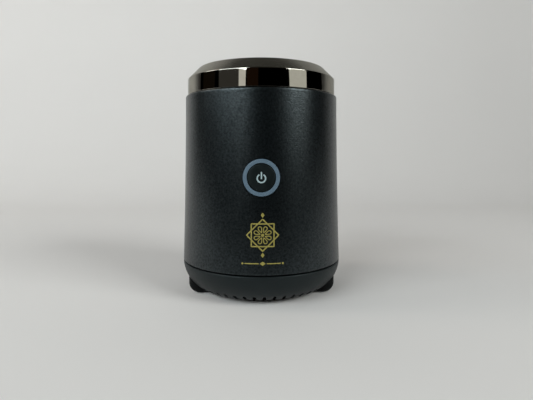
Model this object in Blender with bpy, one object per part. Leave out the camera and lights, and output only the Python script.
"""Portable electric incense burner, built as the pieces it comes apart into.

A flared round body stands on a bowl-shaped vented base with three rubber feet. A bevelled metal lid with a
smoke grille lifts off the top and uncovers a loose dish on a ceramic heater. A round lit power button is
set in the front, and a charging socket in the back.

Run with: blender --background --python part.py. The frame has +Z up, the front faces -Y, and the origin is
on the ground under the middle of the body. Sizes are in millimetres, and MM turns them into Blender's metres.
"""

import math

import bmesh
import bpy
from mathutils import Matrix

MM = 0.001

# ---- Driving dimensions, in millimetres ----------------------------------------------------------

CLEARANCE = 0.3  # left between two pieces that touch

# Outer form: the body flares from its top down to the seam, and the base curves in below it.
BODY_RADIUS = 40.0  # at the seam, the widest place
BODY_TOP_Z = 95.6
NECK_SHARE, SLOPE_SHARE, FLARE_SHARE = 0.935, 0.040, 0.025  # shares of BODY_RADIUS that make the flare
SEAM_Z = 15.4
SEAM_GAP = 0.5
WALL = 2.0
BASE_Z = 1.0  # the base hangs this far above the ground
BASE_FLAT_RADIUS = 27.2

# Lid
RING_RADIUS = 36.4
RING_EDGE_Z = 103.7  # where the upright band turns into the bevel
RIM_RADIUS = 31.0
RIM_Z = 108.9
RIM_HOLE_RADIUS = 28.8
RING_WALL = 1.5
GRILLE_THICKNESS = 1.5

# Burner
DECK_TOP_Z = 74.6
CUP_FLOOR_Z = 80.2
CUP_RIM_Z = 90.5
CUP_RADIUS = 24.9
SHEET = 0.8  # pressed steel
HEATER_RADIUS = 15.0
HEATER_THICKNESS = 2.4
DISH_Z = 84.5
DISH_HEIGHT = 8.2
DISH_LIP_RADIUS = 23.4

# Battery: two standard 18650 cells
CELL_RADIUS = 9.2
CELL_LENGTH = 65.0
CELL_X = 9.6
CELL_Y = 3.0
CELL_Z = 7.2

# Button: a standard 16 mm lit ring
BUTTON_Z = 57.7
LIGHT_RING_RADIUS = 8.0
LIGHT_RING_BORE = 6.25
CAP_RADIUS = 5.95
STROKE = 0.75
SYMBOL_RADIUS = 2.15
SYMBOL_DROP = 0.2
SYMBOL_OPENING = 38  # degrees on each side of the top
SYMBOL_GAP = 0.15
BAR_LOW, BAR_HIGH = -0.2, 2.6  # the bar's ends, from the middle of the open ring

# Charging socket: USB type C
PORT_Z = 26.0
PORT_WIDTH, PORT_HEIGHT = 8.94, 3.26
PORT_WALL = 0.3

# Base: radial vent slots and three feet
VENT_COUNT = 48
VENT_WIDTH = 1.5
VENT_INNER_RADIUS, VENT_OUTER_RADIUS = 24.2, 35.4
VENT_START = 2.2  # degrees from the front
FOOT_RADIUS, FOOT_FLAT_RADIUS = 5.8, 1.5
FOOT_ROUND = 4.9  # the dome's height
FOOT_TOP_Z = 10.0  # before the bowl's curve cuts it
FOOT_CIRCLE = 32.5
FOOT_ANGLES = {"foot_right": -22.0, "foot_left": 202.0, "foot_rear": 90.0}  # degrees from +X

POSTS = ((16.5, -11.5), (-16.5, -11.5), (0.0, 20.0))
POST_RADIUS, POST_BORE = 2.5, 1.5
STANDOFF_CIRCLE = 21.5
STANDOFF_ANGLES = (30.0, 150.0, 270.0)
MAGNET_CIRCLE = 32.95
MAGNET_RADIUS, MAGNET_SUNK = 1.2, 0.15
MAGNET_ANGLES = (30.0, 150.0, 270.0)
LEAD_X, LEAD_Y = 4.0, 15.7
LEAD_RADIUS = 0.7

FINE, MEDIUM, COARSE, SMALL, HEXAGON = 48, 32, 20, 10, 6  # sides of round pieces

# ---- Materials -----------------------------------------------------------------------------------

MATERIALS = {  # name: colour, roughness, metallic
    "textured_black": ((0.012, 0.014, 0.014), 0.55, 0.0),
    "base_black": ((0.018, 0.020, 0.021), 0.60, 0.0),
    "dark_chrome": ((0.42, 0.40, 0.37), 0.06, 1.0),
    "grille_metal": ((0.10, 0.10, 0.10), 0.35, 1.0),
    "heat_black": ((0.010, 0.010, 0.010), 0.70, 0.0),
    "rubber": ((0.006, 0.006, 0.006), 0.80, 0.0),
    "silicone": ((0.25, 0.06, 0.04), 0.55, 0.0),
    "steel": ((0.55, 0.55, 0.55), 0.30, 1.0),
    "ceramic": ((0.75, 0.73, 0.70), 0.45, 0.0),
    "mica": ((0.45, 0.40, 0.30), 0.60, 0.0),
    "brass": ((0.70, 0.50, 0.22), 0.30, 1.0),
    "cell_wrap": ((0.03, 0.16, 0.30), 0.35, 0.0),
    "board_green": ((0.01, 0.12, 0.05), 0.40, 0.0),
    "part_black": ((0.02, 0.02, 0.02), 0.40, 0.0),
    "tape": ((0.60, 0.45, 0.08), 0.50, 0.0),
    "lead_red": ((0.50, 0.02, 0.02), 0.45, 0.0),
    "light_ring": ((0.14, 0.20, 0.27), 0.40, 0.0),
    "button_black": ((0.008, 0.010, 0.010), 0.35, 0.0),
    "symbol_white": ((0.50, 0.60, 0.62), 0.40, 0.0),
    "led_white": ((0.85, 0.85, 0.75), 0.30, 0.0),
    "magnet": ((0.50, 0.50, 0.52), 0.25, 1.0),
}


def material(name):
    """The named Principled material, made the first time it is asked for."""
    found = bpy.data.materials.get(name)
    if found:
        return found
    colour, roughness, metallic = MATERIALS[name]
    made = bpy.data.materials.new(name)
    made.use_nodes = True
    shader = made.node_tree.nodes["Principled BSDF"]
    shader.inputs["Base Color"].default_value = (*colour, 1.0)
    shader.inputs["Roughness"].default_value = roughness
    shader.inputs["Metallic"].default_value = metallic
    return made


# ---- Modelling helpers: every argument is in millimetres and degrees -----------------------------

UPRIGHT = (0.0, 0.0, 0.0)
FORWARD = (90.0, 0.0, 0.0)  # a piece made along +Z points out of the front, -Y
BACKWARD = (-90.0, 0.0, 0.0)  # a piece made along +Z points out of the back, +Y


def place(name, bm, material_name, at=(0, 0, 0), turn=UPRIGHT):
    """Turns a bmesh in millimetres into a named object; a piece with no material is a hidden helper."""
    bmesh.ops.recalc_face_normals(bm, faces=bm.faces)
    bmesh.ops.transform(bm, matrix=Matrix.Scale(MM, 4), verts=bm.verts)
    mesh = bpy.data.meshes.new(name)
    bm.to_mesh(mesh)
    bm.free()
    piece = bpy.data.objects.new(name, mesh)
    bpy.context.scene.collection.objects.link(piece)
    piece.location = [value * MM for value in at]
    piece.rotation_euler = [math.radians(value) for value in turn]
    if material_name:
        mesh.materials.append(material(material_name))
        mesh.shade_smooth()
        mesh.set_sharp_from_angle(angle=math.radians(30))
    else:
        piece.hide_render = True
        piece.display_type = "WIRE"
    return piece


def turned(name, outline, material_name, sides=MEDIUM, at=(0, 0, 0), turn=UPRIGHT):
    """A piece turned about its Z axis from (radius, height) points.

    A solid piece's points start and end on the axis, and a hollow piece's close into a loop.
    """
    bm = bmesh.new()
    points = [bm.verts.new((radius, 0, height)) for radius, height in outline]
    solid = outline[0][0] == 0 and outline[-1][0] == 0
    ends = points[1:] if solid else points[1:] + points[:1]
    edges = [bm.edges.new(pair) for pair in zip(points, ends)]
    bmesh.ops.spin(bm, geom=points + edges, cent=(0, 0, 0), axis=(0, 0, 1), angle=math.tau, steps=sides,
                   use_merge=True)
    bmesh.ops.remove_doubles(bm, verts=bm.verts, dist=1e-5)
    return place(name, bm, material_name, at, turn)


def disc(name, radius, low, high, material_name, sides=COARSE, at=(0, 0), bore=0.0):
    """A flat disc or, with a bore, a washer or tube, from one height to another."""
    outline = [(bore, low), (radius, low), (radius, high), (bore, high)]
    return turned(name, outline, material_name, sides, (*at, 0))


def add_prism(bm, outline, low, high, spin=0.0):
    """Adds a straight prism over a flat outline, turned about Z by an angle."""
    face = bm.faces.new([bm.verts.new((x, y, low)) for x, y in outline])
    made = bmesh.ops.extrude_face_region(bm, geom=[face])["geom"]
    top = [item for item in made if isinstance(item, bmesh.types.BMVert)]
    bmesh.ops.translate(bm, vec=(0, 0, high - low), verts=top)
    bmesh.ops.rotate(bm, cent=(0, 0, 0), matrix=Matrix.Rotation(math.radians(spin), 3, "Z"),
                     verts=list(face.verts) + top)


def prism(name, outline, low, high, material_name, at=(0, 0, 0), turn=UPRIGHT, spins=(0.0,)):
    """One prism, or the same prism at several angles round the axis."""
    bm = bmesh.new()
    for spin in spins:
        add_prism(bm, outline, low, high, spin)
    return place(name, bm, material_name, at, turn)


def box(name, low, high, material_name):
    """A box between two opposite corners."""
    outline = [(low[0], low[1]), (high[0], low[1]), (high[0], high[1]), (low[0], high[1])]
    return prism(name, outline, low[2], high[2], material_name)


def rods(name, places, radius, low, high, sides=SMALL):
    """A hidden helper of upright rods, to cut holes with or to add bosses with."""
    bm = bmesh.new()
    for x, y in places:
        circle = arc((x, y), (radius, radius), 0, 360 - 360 / sides, sides - 1)
        add_prism(bm, circle, low, high)
    return place(name, bm, None)


def screw(name, x, y, head_z, head_radius, head_height, shank_radius, tip_z):
    """A round-headed screw: head_z is the underside of its head, and tip_z its other end, above or below."""
    top = head_z + math.copysign(head_height, head_z - tip_z)
    outline = [(0, tip_z), (shank_radius, tip_z), (shank_radius, head_z), (head_radius, head_z),
               (head_radius, top), (0, top)]
    return turned(name, outline, "steel", SMALL, (x, y, 0))


def combine(piece, helper, operation):
    """Cuts, adds or keeps what a helper covers."""
    modifier = piece.modifiers.new(f"{operation.lower()}_{helper.name}", "BOOLEAN")
    modifier.operation = operation
    modifier.object = helper
    modifier.solver = "EXACT"


# ---- Outlines ------------------------------------------------------------------------------------

def arc(centre, radii, start, end, steps):
    """Points along a round or elliptical arc, by angle in degrees."""
    angles = [math.radians(start + (end - start) * step / steps) for step in range(steps + 1)]
    return [(centre[0] + radii[0] * math.cos(a), centre[1] + radii[1] * math.sin(a)) for a in angles]


def on_circle(radius, degrees):
    """The point on a circle at an angle from +X."""
    angle = math.radians(degrees)
    return radius * math.cos(angle), radius * math.sin(angle)


def stadium(half_length, radius, steps=6):
    """A bar with round ends, along X."""
    right = arc((half_length, 0), (radius, radius), -90, 90, steps)
    left = arc((-half_length, 0), (radius, radius), 90, 270, steps)
    return right + left


def radial_slot(inner, outer, width):
    """A straight slot that runs out from the axis along X."""
    half = width / 2
    return [(inner, -half), (outer, -half), (outer, half), (inner, half)]


def body_radius(z):
    """The flared body's outer radius at a height."""
    t = (BODY_TOP_Z - z) / (BODY_TOP_Z - SEAM_Z)
    return BODY_RADIUS * (NECK_SHARE + SLOPE_SHARE * t + FLARE_SHARE * t * t)


def body_side(low, high, inset, steps):
    """Points up the body's side, or up a surface a little inside it."""
    heights = [low + (high - low) * step / steps for step in range(steps + 1)]
    return [(body_radius(z) - inset, z) for z in heights]


def base_edge(inset, start, end, steps):
    """Points round the bowl's rounded edge, or a surface inside or outside it, by angle below level."""
    radii = (BODY_RADIUS - BASE_FLAT_RADIUS - inset, SEAM_Z - BASE_Z - inset)
    return arc((BASE_FLAT_RADIUS, SEAM_Z), radii, -start, -end, steps)


def power_arc(grow):
    """The open ring of the power symbol, made a little wider for the hole that it shows through."""
    middle = SYMBOL_RADIUS - STROKE / 2
    half = STROKE / 2 + grow
    opening = SYMBOL_OPENING - math.degrees(grow / middle)
    outer = arc((0, 0), (middle + half, middle + half), 90 + opening, 450 - opening, 20)
    inner = arc((0, 0), (middle - half, middle - half), 450 - opening, 90 + opening, 20)
    return outer + inner


def power_bar(grow):
    """The upright stroke of the power symbol."""
    half = STROKE / 2 + grow
    low, high = BAR_LOW - grow, BAR_HIGH + grow
    return [(-half, low), (half, low), (half, high), (-half, high)]


# ---- Base: shell with vents, screws and feet -----------------------------------------------------

LIP_RADIUS = 37.4
LIP_WALL = 1.8
LIP_TOP_Z = 19.0
BOSS_RADIUS, BOSS_TOP_Z = 3.6, 5.2
HEAD_RECESS_RADIUS, HEAD_RECESS_TOP_Z = 2.9, 3.3
BASE_SCREW_HEAD, BASE_SCREW_HEAD_HEIGHT, BASE_SCREW_SHANK = 2.6, 1.6, 1.2
BASE_SCREW_TIP_Z = 12.0
PLUG_RADIUS, PLUG_HEAD_RADIUS = 1.6, 2.3
PLUG_FOOT_Z, PLUG_HEAD_Z, PLUG_TOP_Z = 0.4, 7.3, 8.9


def vent_angles():
    """The slots stand at equal angles, and the ones that would run under a foot are left out."""
    pitch = 360 / VENT_COUNT
    angles = [270 + VENT_START + pitch * index for index in range(VENT_COUNT)]
    reach = math.degrees((FOOT_RADIUS + VENT_WIDTH) / FOOT_CIRCLE)

    def clear(angle):
        return all(abs((angle - foot + 180) % 360 - 180) > reach for foot in FOOT_ANGLES.values())

    return [angle for angle in angles if clear(angle)]


def make_base():
    """The bowl: its round edge, a lip that stands inside the body, bosses, vents and holes."""
    lip_bore = LIP_RADIUS - LIP_WALL
    groove_z = SEAM_Z - SEAM_GAP / 2
    inner_share = (lip_bore - BASE_FLAT_RADIUS) / (BODY_RADIUS - BASE_FLAT_RADIUS - WALL)
    inner_start = math.degrees(math.acos(inner_share))
    outer_start = math.degrees(math.asin((SEAM_GAP / 2) / (SEAM_Z - BASE_Z)))
    outline = [(0, BASE_Z)]
    outline += base_edge(0, 90, outer_start, 7)
    outline += [(LIP_RADIUS, groove_z), (LIP_RADIUS, LIP_TOP_Z), (lip_bore, LIP_TOP_Z)]
    outline += base_edge(WALL, inner_start, 90, 3)
    outline += [(0, BASE_Z + WALL)]
    shell = turned("base_shell", outline, "base_black", FINE)
    feet = [on_circle(FOOT_CIRCLE, angle) for angle in FOOT_ANGLES.values()]
    slot = radial_slot(VENT_INNER_RADIUS, VENT_OUTER_RADIUS, VENT_WIDTH)
    vents = prism("vent_cutter", slot, -1, 9, None, spins=vent_angles())
    combine(shell, rods("boss_helper", POSTS, BOSS_RADIUS, BASE_Z + WALL / 2, BOSS_TOP_Z), "UNION")
    combine(shell, vents, "DIFFERENCE")
    combine(shell, rods("head_cutter", POSTS, HEAD_RECESS_RADIUS, -1, HEAD_RECESS_TOP_Z), "DIFFERENCE")
    combine(shell, rods("shank_cutter", POSTS, POST_BORE, 0, 9), "DIFFERENCE")
    combine(shell, rods("plug_cutter", feet, PLUG_RADIUS + CLEARANCE, 0, 9), "DIFFERENCE")
    for number, (x, y) in enumerate(POSTS, 1):
        screw(f"base_screw_{number}", x, y, HEAD_RECESS_TOP_Z - CLEARANCE, BASE_SCREW_HEAD,
              BASE_SCREW_HEAD_HEIGHT, BASE_SCREW_SHANK, BASE_SCREW_TIP_Z)


def make_feet():
    """Domed rubber feet, cut to the bowl's curve, each held by a plug through the base."""
    bowl = [(0, BASE_Z - CLEARANCE)] + base_edge(-CLEARANCE, 90, 0, 12) + [(0, SEAM_Z)]
    above = turned("bowl_cutter", bowl, None, FINE)
    dome = [(0, 0)]
    dome += arc((FOOT_FLAT_RADIUS, FOOT_ROUND), (FOOT_RADIUS - FOOT_FLAT_RADIUS, FOOT_ROUND), -90, 0, 6)
    dome += [(FOOT_RADIUS, FOOT_TOP_Z), (0, FOOT_TOP_Z)]
    plug = [(0, PLUG_FOOT_Z), (PLUG_RADIUS, PLUG_FOOT_Z), (PLUG_RADIUS, PLUG_HEAD_Z),
            (PLUG_HEAD_RADIUS, PLUG_HEAD_Z), (PLUG_RADIUS, PLUG_TOP_Z), (0, PLUG_TOP_Z)]
    for name, angle in FOOT_ANGLES.items():
        x, y = on_circle(FOOT_CIRCLE, angle)
        foot = turned(name, dome, "rubber", COARSE, (x, y, 0))
        combine(foot, above, "DIFFERENCE")
        combine(foot, turned(f"{name}_plug_helper", plug, None, SMALL, (x, y, 0)), "UNION")


# ---- Body: outer shell, collar and its magnets ---------------------------------------------------

COLLAR_RADIUS = 35.1
COLLAR_TOP_Z = 95.2
COLLAR_FOOT_Z = 83.0
COLLAR_BORE = 30.8
COLLAR_WALL = 2.5
COLLAR_POCKET_DEPTH = 2.6
LEDGE_Z = 89.4
LEDGE_BORE = 28.5
LEDGE_THICKNESS = 2.0
TOP_CHAMFER = 0.4
THROUGH_SHELL = (30.0, 45.0)  # distances from the axis that a cutter through the shell spans


def make_body_shell():
    """The flared tube, with the button's round hole in front and the socket's slot behind."""
    low = SEAM_Z + SEAM_GAP / 2
    outline = body_side(low, BODY_TOP_Z - TOP_CHAMFER, 0, 6)
    outline += [(body_radius(BODY_TOP_Z) - TOP_CHAMFER, BODY_TOP_Z)]
    outline += reversed(body_side(low, BODY_TOP_Z, WALL, 2))
    shell = turned("body_shell", outline, "textured_black", FINE)
    inner, outer = THROUGH_SHELL
    bore = LIGHT_RING_RADIUS + CLEARANCE
    rod = [(0, inner), (bore, inner), (bore, outer), (0, outer)]
    hole = button_piece("button_hole_cutter", rod, None)
    slot = stadium((PORT_WIDTH - PORT_HEIGHT) / 2, PORT_HEIGHT / 2 + CLEARANCE)
    port = prism("port_cutter", slot, inner, outer, None, (0, 0, PORT_Z), BACKWARD)
    combine(shell, hole, "DIFFERENCE")
    combine(shell, port, "DIFFERENCE")


def make_collar():
    """The ring inside the body's top that the lid drops into, with a ledge for the burner cup."""
    skirt_bore = COLLAR_RADIUS - COLLAR_WALL
    ledge_foot_z = LEDGE_Z - LEDGE_THICKNESS
    outline = [(COLLAR_RADIUS, COLLAR_FOOT_Z), (COLLAR_RADIUS, COLLAR_TOP_Z), (COLLAR_BORE, COLLAR_TOP_Z),
               (COLLAR_BORE, LEDGE_Z), (LEDGE_BORE, LEDGE_Z), (LEDGE_BORE, ledge_foot_z),
               (skirt_bore, ledge_foot_z), (skirt_bore, COLLAR_FOOT_Z)]
    collar = turned("top_collar", outline, "heat_black", FINE)
    places = [on_circle(MAGNET_CIRCLE, angle) for angle in MAGNET_ANGLES]
    pocket_z = COLLAR_TOP_Z - COLLAR_POCKET_DEPTH
    pockets = rods("collar_pocket_cutter", places, MAGNET_RADIUS + CLEARANCE, pocket_z, COLLAR_TOP_Z + 1)
    combine(collar, pockets, "DIFFERENCE")
    for number, (x, y) in enumerate(places, 1):
        disc(f"collar_magnet_{number}", MAGNET_RADIUS, pocket_z + CLEARANCE, COLLAR_TOP_Z - MAGNET_SUNK,
             "magnet", SMALL, (x, y))


# ---- Lid: ring, grille, liner, seal and magnets --------------------------------------------------

LINER_BORE = 28.3
SPIGOT_RADIUS, SPIGOT_FOOT_Z = 30.4, 90.9
FLANGE_RADIUS, FLANGE_Z, FLANGE_TOP_Z = 34.5, 96.1, 98.3
RISER_RADIUS = 29.9
SEAL_Z, SEAL_RADIUS, SEAL_THICKNESS = 93.3, 30.0, 0.5
SEAL_GROOVE_RADIUS, SEAL_GROOVE_HALF = 29.2, 0.9
POCKET_ROOF = 0.4
RIM_LIP, RIM_LIP_STEP = 1.9, 0.3
RING_TAPER, RING_SHOULDER = 0.15, 0.8
GRILLE_RADIUS = 30.4
SLOT_RINGS = (("outer_slot_cutter", 20, 14.5, 25.5, 2.4), ("inner_slot_cutter", 10, 5.5, 11.5, 2.0))
SLOT_TURN = 2.0  # degrees


def grille_z():
    """The grille's underside: it hangs under the rim's lip."""
    return RIM_Z - RIM_LIP - CLEARANCE - GRILLE_THICKNESS


def make_lid_ring():
    """An upright band, a wide bevel and a flat rim that turns in over the grille."""
    ring_z = BODY_TOP_Z + CLEARANCE
    inner = RING_RADIUS - RING_WALL
    lip_z = RIM_Z - RIM_LIP
    outline = [(RING_RADIUS, ring_z), (RING_RADIUS - RING_TAPER, RING_EDGE_Z), (RIM_RADIUS, RIM_Z),
               (RIM_HOLE_RADIUS, RIM_Z), (RIM_HOLE_RADIUS, lip_z), (RIM_RADIUS - RIM_LIP_STEP, lip_z),
               (inner, RING_EDGE_Z - RING_SHOULDER), (inner, ring_z)]
    turned("lid_ring", outline, "dark_chrome", FINE)


def make_grille():
    """A flat disc with two rings of radial smoke slots."""
    low = grille_z()
    grille = disc("lid_grille", GRILLE_RADIUS, low, low + GRILLE_THICKNESS, "grille_metal", FINE)
    for name, count, inner, outer, width in SLOT_RINGS:
        slot = radial_slot(inner, outer, width)
        spins = [360 * index / count + SLOT_TURN for index in range(count)]
        combine(grille, prism(name, slot, low - 1, low + 3, None, spins=spins), "DIFFERENCE")


def make_liner():
    """The moulding inside the lid: a spigot with a seal groove, a flange and a riser under the grille."""
    groove_low, groove_high = SEAL_Z - SEAL_GROOVE_HALF, SEAL_Z + SEAL_GROOVE_HALF
    riser_top = grille_z() - CLEARANCE
    outline = [(LINER_BORE, SPIGOT_FOOT_Z), (SPIGOT_RADIUS, SPIGOT_FOOT_Z), (SPIGOT_RADIUS, groove_low),
               (SEAL_GROOVE_RADIUS, groove_low), (SEAL_GROOVE_RADIUS, groove_high),
               (SPIGOT_RADIUS, groove_high), (SPIGOT_RADIUS, FLANGE_Z), (FLANGE_RADIUS, FLANGE_Z),
               (FLANGE_RADIUS, FLANGE_TOP_Z), (RISER_RADIUS, FLANGE_TOP_Z), (RISER_RADIUS, riser_top),
               (LINER_BORE, riser_top)]
    liner = turned("lid_liner", outline, "heat_black", MEDIUM)
    places = [on_circle(MAGNET_CIRCLE, angle) for angle in MAGNET_ANGLES]
    pocket_top = FLANGE_TOP_Z - POCKET_ROOF
    pockets = rods("lid_pocket_cutter", places, MAGNET_RADIUS + CLEARANCE, FLANGE_Z - 1, pocket_top)
    combine(liner, pockets, "DIFFERENCE")
    for number, (x, y) in enumerate(places, 1):
        disc(f"lid_magnet_{number}", MAGNET_RADIUS, FLANGE_Z + MAGNET_SUNK, pocket_top - CLEARANCE,
             "magnet", SMALL, (x, y))
    section = arc((SEAL_RADIUS, SEAL_Z), (SEAL_THICKNESS, SEAL_THICKNESS), 0, 300, 5)
    turned("lid_seal", section, "silicone", MEDIUM)


# ---- Burner: dish, heater, cup, shield and what holds them ---------------------------------------

DISH_FLAT, DISH_RADIUS = 14.0, 21.5
DISH_WALL, DISH_LIP = 1.2, 1.0
CUP_HOLE_RADIUS = 17.2
CUP_FLANGE_RADIUS = 30.5
SHIELD_RADIUS = 27.5
SHIELD_SHEET = 0.6
SHIELD_Z = DECK_TOP_Z + 1.6
SHIELD_TOP_Z = 88.9
PAD_RADIUS = 14.5
SUPPORT_RADIUS, SUPPORT_BORE = 13.2, 12.2
CUTOFF_RADIUS, CUTOFF_HALF_LENGTH, CUTOFF_DROP = 1.2, 3.5, 2.3
STANDOFF_RADIUS = 2.2
SCREW_BORE = 1.3
LEAD_HOLE_RADIUS = LEAD_RADIUS + 0.6
BURNER_SCREW_HEAD, BURNER_SCREW_HEAD_HEIGHT, BURNER_SCREW_SHANK = 2.0, 1.4, 1.0
BURNER_SCREW_TIP_Z = DECK_TOP_Z - 2.6
LEAD_PLACES = ((LEAD_X, LEAD_Y), (-LEAD_X, LEAD_Y))


def make_dish():
    """The loose dish that holds the incense, with a lip to lift it by."""
    top = DISH_Z + DISH_HEIGHT
    lip_z = top - DISH_LIP
    side = DISH_RADIUS - DISH_FLAT
    outline = [(0, DISH_Z)]
    outline += arc((DISH_FLAT, lip_z), (side, DISH_HEIGHT - DISH_LIP), -90, 0, 5)
    outline += [(DISH_LIP_RADIUS, lip_z), (DISH_LIP_RADIUS, top)]
    outline += arc((DISH_FLAT, top), (side - DISH_WALL, DISH_HEIGHT - DISH_WALL), 0, -90, 5)
    outline += [(0, DISH_Z + DISH_WALL)]
    turned("incense_dish", outline, "steel", MEDIUM)


def make_heater():
    """The ceramic heater plate under the dish, its support ring and the cut-out below it."""
    plate_z = DISH_Z - CLEARANCE - HEATER_THICKNESS
    support_z = SHIELD_Z + SHIELD_SHEET + CLEARANCE
    half = CUTOFF_HALF_LENGTH
    disc("heater_plate", HEATER_RADIUS, plate_z, plate_z + HEATER_THICKNESS, "ceramic", MEDIUM)
    disc("heater_support", SUPPORT_RADIUS, support_z, plate_z - CLEARANCE, "ceramic", bore=SUPPORT_BORE)
    cutoff = [(0, -half), (CUTOFF_RADIUS, -half), (CUTOFF_RADIUS, half), (0, half)]
    turned("thermal_cutoff", cutoff, "part_black", SMALL, (0, 0, plate_z - CUTOFF_DROP), (0, 90, 0))


def make_cup_and_shield():
    """The pressed cup round the dish, the heat shield outside it and the insulating pad below."""
    standoffs = [on_circle(STANDOFF_CIRCLE, angle) for angle in STANDOFF_ANGLES]
    flange_z = CUP_RIM_Z - SHEET
    outline = [(CUP_HOLE_RADIUS, CUP_FLOOR_Z), (CUP_RADIUS, CUP_FLOOR_Z), (CUP_RADIUS, flange_z),
               (CUP_FLANGE_RADIUS, flange_z), (CUP_FLANGE_RADIUS, CUP_RIM_Z), (CUP_RADIUS - SHEET, CUP_RIM_Z),
               (CUP_RADIUS - SHEET, CUP_FLOOR_Z + SHEET), (CUP_HOLE_RADIUS, CUP_FLOOR_Z + SHEET)]
    cup = turned("burner_cup", outline, "steel", MEDIUM)
    holes = rods("cup_screw_cutter", standoffs, SCREW_BORE, CUP_FLOOR_Z - 1, CUP_FLOOR_Z + 2)
    combine(cup, holes, "DIFFERENCE")
    low, high = SHIELD_Z, SHIELD_TOP_Z
    inner = SHIELD_RADIUS - SHIELD_SHEET
    outline = [(0, low), (SHIELD_RADIUS, low), (SHIELD_RADIUS, high), (inner, high),
               (inner, low + SHIELD_SHEET), (0, low + SHIELD_SHEET)]
    shield = turned("heat_shield", outline, "steel", MEDIUM)
    holes = rods("shield_post_cutter", standoffs, STANDOFF_RADIUS + CLEARANCE, low - 1, low + 2)
    combine(shield, holes, "DIFFERENCE")
    holes = rods("shield_lead_cutter", LEAD_PLACES, LEAD_HOLE_RADIUS, low - 1, low + 2)
    combine(shield, holes, "DIFFERENCE")
    disc("insulation_pad", PAD_RADIUS, DECK_TOP_Z + CLEARANCE, low - CLEARANCE, "mica")
    for number, (x, y) in enumerate(standoffs, 1):
        disc(f"burner_standoff_{number}", STANDOFF_RADIUS, DECK_TOP_Z + CLEARANCE, CUP_FLOOR_Z - CLEARANCE,
             "ceramic", SMALL, (x, y), bore=SCREW_BORE)
        screw(f"burner_screw_{number}", x, y, CUP_FLOOR_Z + SHEET + CLEARANCE, BURNER_SCREW_HEAD,
              BURNER_SCREW_HEAD_HEIGHT, BURNER_SCREW_SHANK, BURNER_SCREW_TIP_Z)


def make_leads():
    """Two insulated leads from the heater's edge, through the deck, to the board."""
    for number, side in enumerate((1, -1), 1):
        route = ((side * LEAD_X, LEAD_Y, 83.0), (side * LEAD_X, LEAD_Y, 76.0), (side * LEAD_X, LEAD_Y, 69.0),
                 (side * 5.0, 20.0, 62.0), (side * 6.5, 27.4, 56.5), (side * 6.8, 27.7, 50.0))
        curve = bpy.data.curves.new(f"heater_lead_{number}", "CURVE")
        curve.dimensions = "3D"
        curve.bevel_depth = LEAD_RADIUS * MM
        curve.bevel_resolution = 1
        curve.resolution_u = 4
        curve.render_resolution_u = 0
        curve.use_fill_caps = True
        spline = curve.splines.new("BEZIER")
        spline.bezier_points.add(len(route) - 1)
        for point, place_mm in zip(spline.bezier_points, route):
            point.co = [value * MM for value in place_mm]
            point.handle_left_type = point.handle_right_type = "AUTO"
        curve.materials.append(material("lead_red"))
        lead = bpy.data.objects.new(f"heater_lead_{number}", curve)
        bpy.context.scene.collection.objects.link(lead)


# ---- Chassis and battery -------------------------------------------------------------------------

TRAY_Z, TRAY_TOP_Z, TRAY_RADIUS = 5.5, 9.0, 29.5
DECK_Z, DECK_RADIUS = 70.9, 35.3
SPIGOT_HEIGHT, SPIGOT_HOLE_RADIUS = 2.0, 1.9
POST_BORE_DEPTH = 4.0
LINK_THICKNESS, LINK_HALF_LENGTH, LINK_HALF_WIDTH = 0.3, 13.0, 3.5
CELL_SHOULDER = 0.8
STRAP_LOW_Z, STRAP_HIGH_Z, STRAP_THICKNESS = 34.0, 44.0, 0.8


def battery_outline(radius):
    """The outline round both cells."""
    return [(x, y + CELL_Y) for x, y in stadium(CELL_X, radius, 8)]


def make_chassis():
    """Two decks joined by posts; the cells stand between them in shallow pockets."""
    tray = disc("lower_tray", TRAY_RADIUS, TRAY_Z, TRAY_TOP_Z, "part_black", MEDIUM)
    deck = disc("upper_deck", DECK_RADIUS, DECK_Z, DECK_TOP_Z, "part_black", MEDIUM)
    pocket = battery_outline(CELL_RADIUS + CLEARANCE)
    link_room = 2 * CLEARANCE + LINK_THICKNESS
    cell_top = CELL_Z + CELL_LENGTH
    combine(tray, prism("tray_pocket_cutter", pocket, CELL_Z - link_room, TRAY_TOP_Z + 1, None), "DIFFERENCE")
    combine(deck, prism("deck_pocket_cutter", pocket, DECK_Z - 1, cell_top + link_room, None), "DIFFERENCE")
    combine(tray, rods("tray_screw_cutter", POSTS, POST_BORE, TRAY_Z - 1, TRAY_TOP_Z + 1), "DIFFERENCE")
    standoffs = [on_circle(STANDOFF_CIRCLE, angle) for angle in STANDOFF_ANGLES]
    low, high = DECK_Z - 1, DECK_TOP_Z + 1
    combine(deck, rods("deck_screw_cutter", standoffs, SCREW_BORE, low, high), "DIFFERENCE")
    combine(deck, rods("deck_lead_cutter", LEAD_PLACES, LEAD_HOLE_RADIUS, low, high), "DIFFERENCE")
    holes = rods("deck_post_cutter", POSTS, SPIGOT_HOLE_RADIUS, low, DECK_Z + SPIGOT_HEIGHT)
    combine(deck, holes, "DIFFERENCE")


def make_posts():
    """Brass spacers between the decks: a blind bore below takes a screw, and a spigot above fits the deck."""
    low, high = TRAY_TOP_Z + CLEARANCE, DECK_Z - CLEARANCE
    bore_top, spigot_top = low + POST_BORE_DEPTH, high + SPIGOT_HEIGHT
    outline = [(0, bore_top), (POST_BORE, bore_top), (POST_BORE, low), (POST_RADIUS, low),
               (POST_RADIUS, high), (POST_BORE, high), (POST_BORE, spigot_top), (0, spigot_top)]
    for number, (x, y) in enumerate(POSTS, 1):
        turned(f"frame_post_{number}", outline, "brass", HEXAGON, (x, y, 0))


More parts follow.
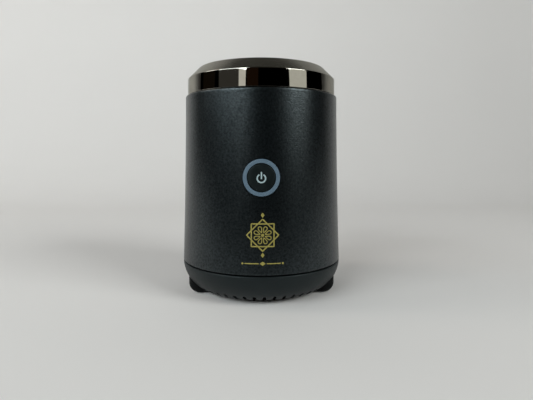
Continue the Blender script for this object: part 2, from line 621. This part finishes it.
def make_battery():
    """Two cells, the strap round them and the plates that link their ends."""
    cell_top = CELL_Z + CELL_LENGTH
    for number, x in enumerate((CELL_X, -CELL_X), 1):
        outline = [(0, CELL_Z), (CELL_RADIUS, CELL_Z), (CELL_RADIUS, cell_top - CELL_SHOULDER),
                   (CELL_RADIUS - CELL_SHOULDER, cell_top), (0, cell_top)]
        turned(f"battery_cell_{number}", outline, "cell_wrap", COARSE, (x, CELL_Y, 0))
    strap = prism("battery_strap", battery_outline(CELL_RADIUS + CLEARANCE + STRAP_THICKNESS), STRAP_LOW_Z,
                  STRAP_HIGH_Z, "tape")
    hollow = battery_outline(CELL_RADIUS + CLEARANCE)
    combine(strap, prism("strap_cutter", hollow, STRAP_LOW_Z - 1, STRAP_HIGH_Z + 1, None), "DIFFERENCE")
    near, far = CELL_Y - LINK_HALF_WIDTH, CELL_Y + LINK_HALF_WIDTH
    lows = {"cell_link_bottom": CELL_Z - CLEARANCE - LINK_THICKNESS, "cell_link_top": cell_top + CLEARANCE}
    for name, low in lows.items():
        box(name, (-LINK_HALF_LENGTH, near, low), (LINK_HALF_LENGTH, far, low + LINK_THICKNESS), "steel")


# ---- Electronics ---------------------------------------------------------------------------------

BOARD_FACE_Y = 29.2
BOARD_THICKNESS = 1.6
BOARD_HALF_WIDTH = 10.0
BOARD_FOOT_Z, BOARD_TOP_Z = 10.0, 56.0
BRACKET_SHEET, BRACKET_FRONT_Y, BRACKET_TOP_Z, BRACKET_HALF_WIDTH = 1.6, 23.2, 21.0, 6.0
CHIP_LOW, CHIP_HIGH, CHIP_THICKNESS = (-3.5, 38.0), (3.5, 45.0), 1.4
INDUCTOR_LOW, INDUCTOR_HIGH, INDUCTOR_THICKNESS = (-4.0, 26.0), (4.0, 34.0), 3.8
PORT_BACK_Y, PORT_MOUTH_Y = 31.1, 39.0
PORT_FLOOR = 1.8  # thickness of the socket's back
TONGUE_HALF_WIDTH, TONGUE_HALF_THICKNESS, TONGUE_SETBACK = 3.3, 0.35, 0.6


def on_board(name, low, high, thickness):
    """A component on the board's inner face, between two (x, z) corners."""
    back = BOARD_FACE_Y - CLEARANCE
    box(name, (low[0], back - thickness, low[1]), (high[0], back, high[1]), "part_black")


def make_board():
    """The upright board behind the cells, its bracket and the two largest components."""
    low = (-BOARD_HALF_WIDTH, BOARD_FACE_Y, BOARD_FOOT_Z)
    high = (BOARD_HALF_WIDTH, BOARD_FACE_Y + BOARD_THICKNESS, BOARD_TOP_Z)
    box("main_board", low, high, "board_green")
    back, foot_z = BOARD_FACE_Y - CLEARANCE, TRAY_TOP_Z + CLEARANCE
    bracket = [(back, foot_z), (back, BRACKET_TOP_Z), (back - BRACKET_SHEET, BRACKET_TOP_Z),
               (back - BRACKET_SHEET, foot_z + BRACKET_SHEET), (BRACKET_FRONT_Y, foot_z + BRACKET_SHEET),
               (BRACKET_FRONT_Y, foot_z)]
    prism("board_bracket", bracket, -BRACKET_HALF_WIDTH, BRACKET_HALF_WIDTH, "part_black", turn=(90, 0, 90))
    on_board("charge_chip", CHIP_LOW, CHIP_HIGH, CHIP_THICKNESS)
    on_board("inductor", INDUCTOR_LOW, INDUCTOR_HIGH, INDUCTOR_THICKNESS)


def make_port():
    """The charging socket: a drawn shell with a tongue in it."""
    half, radius = (PORT_WIDTH - PORT_HEIGHT) / 2, PORT_HEIGHT / 2
    wide, thick = TONGUE_HALF_WIDTH, TONGUE_HALF_THICKNESS
    at = (0, 0, PORT_Z)
    floor = PORT_BACK_Y + PORT_FLOOR
    socket = prism("usb_socket", stadium(half, radius), PORT_BACK_Y, PORT_MOUTH_Y, "steel", at, BACKWARD)
    hollow = stadium(half, radius - PORT_WALL)
    mouth = prism("mouth_cutter", hollow, floor, PORT_MOUTH_Y + 1, None, at, BACKWARD)
    blade = [(-wide, -thick), (wide, -thick), (wide, thick), (-wide, thick)]
    tongue = prism("tongue_helper", blade, floor - 1, PORT_MOUTH_Y - TONGUE_SETBACK, None, at, BACKWARD)
    combine(socket, mouth, "DIFFERENCE")
    combine(socket, tongue, "UNION")


# ---- Button: along an axis that points out of the front; depths are distances from the body's axis -----

RING_STEP, RING_BACK = 35.0, 33.7
RING_FLANGE_RADIUS, RING_FLANGE_FRONT = 9.6, 34.7
CAP_BACK, CAP_FLANGE_FRONT, CAP_FLANGE_BACK = 35.5, 34.7, 33.9
CAP_FLANGE_RADIUS, CAP_SKIRT_BORE = 6.9, 5.0
GUIDE_RADIUS, GUIDE_BACK, GUIDE_FRONT = 3.5, 36.3, 37.0
BUTTON_BOARD_FRONT, BUTTON_BOARD_RADIUS = 31.0, 10.5
CARRIER_RADIUS, CARRIER_RIM_BORE, CARRIER_BORE = 12.2, 10.8, 6.0
CARRIER_FRONT, CARRIER_FLOOR = 33.4, 1.5
LAMP_HALF_WIDTH, LAMP_NEAR, LAMP_FAR, LAMP_HEIGHT = 0.8, 7.6, 9.2, 1.3
PLUNGER_RADIUS, PLUNGER_TIP, PLUNGER_SUNK = 1.6, 35.15, 0.8
SWITCH_FRONT, SWITCH_HALF_WIDTH, SWITCH_WELL = 34.0, 3.0, 1.6
PAST_FACE = 40.0  # beyond the body's surface, which then trims the piece


def button_piece(name, outline, material_name, sides=MEDIUM):
    """A round piece on the button's axis, from (radius, depth) points."""
    return turned(name, outline, material_name, sides, (0, 0, BUTTON_Z), FORWARD)


def make_light_ring(surface):
    """The light ring: flush with the body, with a step behind that holds the cap in."""
    wide = CAP_FLANGE_RADIUS + CLEARANCE
    outline = [(LIGHT_RING_RADIUS, PAST_FACE), (LIGHT_RING_RADIUS, RING_FLANGE_FRONT),
               (RING_FLANGE_RADIUS, RING_FLANGE_FRONT), (RING_FLANGE_RADIUS, RING_BACK), (wide, RING_BACK),
               (wide, RING_STEP), (LIGHT_RING_BORE, RING_STEP), (LIGHT_RING_BORE, PAST_FACE)]
    combine(button_piece("light_ring", outline, "light_ring"), surface, "INTERSECT")


def symbol_prisms(name, grow, low, high):
    """A helper of the symbol's two strokes."""
    bm = bmesh.new()
    for outline in (power_arc(grow), power_bar(grow)):
        add_prism(bm, [(x, y - SYMBOL_DROP) for x, y in outline], low, high)
    return place(name, bm, None, (0, 0, BUTTON_Z), FORWARD)


def make_cap(surface):
    """The push cap, and the light guide inside it whose strokes show as the power symbol."""
    outline = [(0, CAP_BACK), (CAP_SKIRT_BORE, CAP_BACK), (CAP_SKIRT_BORE, CAP_FLANGE_BACK),
               (CAP_FLANGE_RADIUS, CAP_FLANGE_BACK), (CAP_FLANGE_RADIUS, CAP_FLANGE_FRONT),
               (CAP_RADIUS, CAP_FLANGE_FRONT), (CAP_RADIUS, PAST_FACE), (0, PAST_FACE)]
    cap = button_piece("button_cap", outline, "button_black")
    room = [(0, GUIDE_BACK - CLEARANCE), (GUIDE_RADIUS + CLEARANCE, GUIDE_BACK - CLEARANCE),
            (GUIDE_RADIUS + CLEARANCE, GUIDE_FRONT + CLEARANCE), (0, GUIDE_FRONT + CLEARANCE)]
    combine(cap, surface, "INTERSECT")
    combine(cap, button_piece("guide_room_cutter", room, None, COARSE), "DIFFERENCE")
    combine(cap, symbol_prisms("symbol_cutter", SYMBOL_GAP, GUIDE_FRONT, PAST_FACE + 1), "DIFFERENCE")
    guide = [(0, GUIDE_BACK), (GUIDE_RADIUS, GUIDE_BACK), (GUIDE_RADIUS, GUIDE_FRONT), (0, GUIDE_FRONT)]
    symbol = button_piece("power_symbol", guide, "symbol_white", COARSE)
    strokes = symbol_prisms("symbol_helper", 0, GUIDE_BACK + CLEARANCE, PAST_FACE)
    combine(symbol, strokes, "UNION")
    combine(symbol, surface, "INTERSECT")


def make_switch():
    """The tactile switch on its round board, the lamps beside it and the carrier behind."""
    front, back = BUTTON_BOARD_FRONT, BUTTON_BOARD_FRONT - BOARD_THICKNESS
    bore, half = PLUNGER_RADIUS + CLEARANCE, SWITCH_HALF_WIDTH
    at = (0, 0, BUTTON_Z)
    square = [(-half, -half), (half, -half), (half, half), (-half, half)]
    switch = prism("switch_body", square, front + CLEARANCE, SWITCH_FRONT, "part_black", at, FORWARD)
    floor = SWITCH_FRONT - SWITCH_WELL
    well = [(0, floor), (bore, floor), (bore, SWITCH_FRONT + 1), (0, SWITCH_FRONT + 1)]
    combine(switch, button_piece("well_cutter", well, None, SMALL), "DIFFERENCE")
    sunk = SWITCH_FRONT - PLUNGER_SUNK
    plunger = [(0, sunk), (PLUNGER_RADIUS, sunk), (PLUNGER_RADIUS, PLUNGER_TIP), (0, PLUNGER_TIP)]
    button_piece("switch_plunger", plunger, "symbol_white", SMALL)
    board = [(0, back), (BUTTON_BOARD_RADIUS, back), (BUTTON_BOARD_RADIUS, front), (0, front)]
    button_piece("button_board", board, "board_green", COARSE)
    seat = back - CLEARANCE
    carrier = [(CARRIER_BORE, seat - CARRIER_FLOOR), (CARRIER_RADIUS, seat - CARRIER_FLOOR),
               (CARRIER_RADIUS, CARRIER_FRONT), (CARRIER_RIM_BORE, CARRIER_FRONT), (CARRIER_RIM_BORE, seat),
               (CARRIER_BORE, seat)]
    button_piece("button_carrier", carrier, "part_black", COARSE)
    lamp = [(-LAMP_HALF_WIDTH, LAMP_NEAR), (LAMP_HALF_WIDTH, LAMP_NEAR), (LAMP_HALF_WIDTH, LAMP_FAR),
            (-LAMP_HALF_WIDTH, LAMP_FAR)]
    low = front + CLEARANCE
    for number, spin in enumerate((0, 180), 1):
        prism(f"ring_lamp_{number}", lamp, low, low + LAMP_HEIGHT, "led_white", at, FORWARD, (spin,))


# ---- The whole object ----------------------------------------------------------------------------

def clear_scene():
    """Removes what the scene already holds."""
    for old in list(bpy.data.objects):
        bpy.data.objects.remove(old, do_unlink=True)


def main():
    clear_scene()
    make_base()
    make_feet()
    make_body_shell()
    make_collar()
    make_lid_ring()
    make_grille()
    make_liner()
    make_dish()
    make_heater()
    make_cup_and_shield()
    make_leads()
    make_chassis()
    make_posts()
    make_battery()
    make_board()
    make_port()
    solid_body = [(0, SEAM_Z)] + body_side(SEAM_Z, BODY_TOP_Z, 0, 6) + [(0, BODY_TOP_Z)]
    surface = turned("body_surface_helper", solid_body, None, FINE)
    make_light_ring(surface)
    make_cap(surface)
    make_switch()


main()
